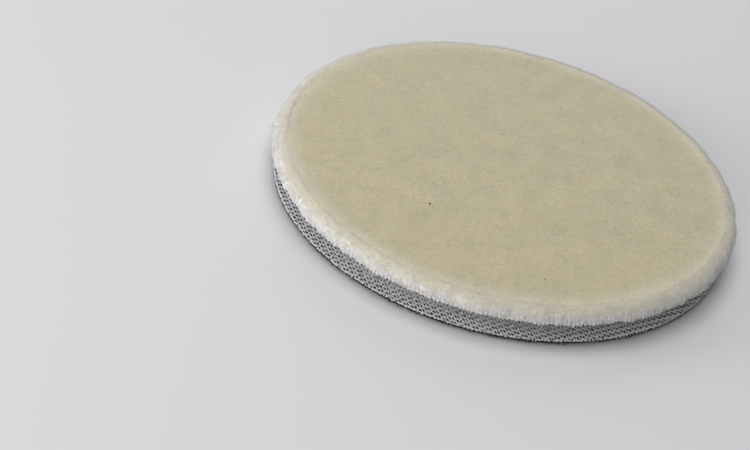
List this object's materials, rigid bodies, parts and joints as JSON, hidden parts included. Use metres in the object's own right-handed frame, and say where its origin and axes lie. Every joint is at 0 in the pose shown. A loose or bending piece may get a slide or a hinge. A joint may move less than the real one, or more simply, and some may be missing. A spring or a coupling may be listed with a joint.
{
  "type": "wool polishing pad",
  "caption": "Round wool polishing pad: a dense sheared wool pile on a thick spacer mesh, with a black loop back that grips a hook-faced backing plate.",
  "frame": {"origin": "centre of the loop face, which lies flat on Z = 0", "axes": "+Z is the pad's round axis and points from the loop face to the wool face; X and Y lie in the loop face and are interchangeable"},
  "size_m": [0.1532, 0.1532, 0.0137],
  "materials": {
    "loop_nap": "brushed black nylon loops, matt and fuzzy",
    "loop_ground": "fine black warp knit",
    "black_hot_melt_film": "thin black hot-melt adhesive",
    "hot_melt_film": "thin cloudy hot-melt adhesive",
    "mesh_knit": "mid-grey polyester warp knit with small six-sided openings",
    "mesh_threads": "grey polyester monofilament, slightly glossy",
    "pile_ground": "off-white plain weave",
    "wool": "cream wool, dense, sheared even, with fine crimped fibre ends"
  },
  "bodies": {
    "root": {"loop_nap": "loop_nap", "loop_ground_cloth": "loop_ground", "loop_adhesive_film": "black_hot_melt_film", "mesh_lower_face": "mesh_knit", "mesh_core_threads": "mesh_threads", "mesh_upper_face": "mesh_knit", "pile_adhesive_film": "hot_melt_film", "pile_ground_cloth": "pile_ground", "wool_pile": "wool"}
  },
  "joints": []
}
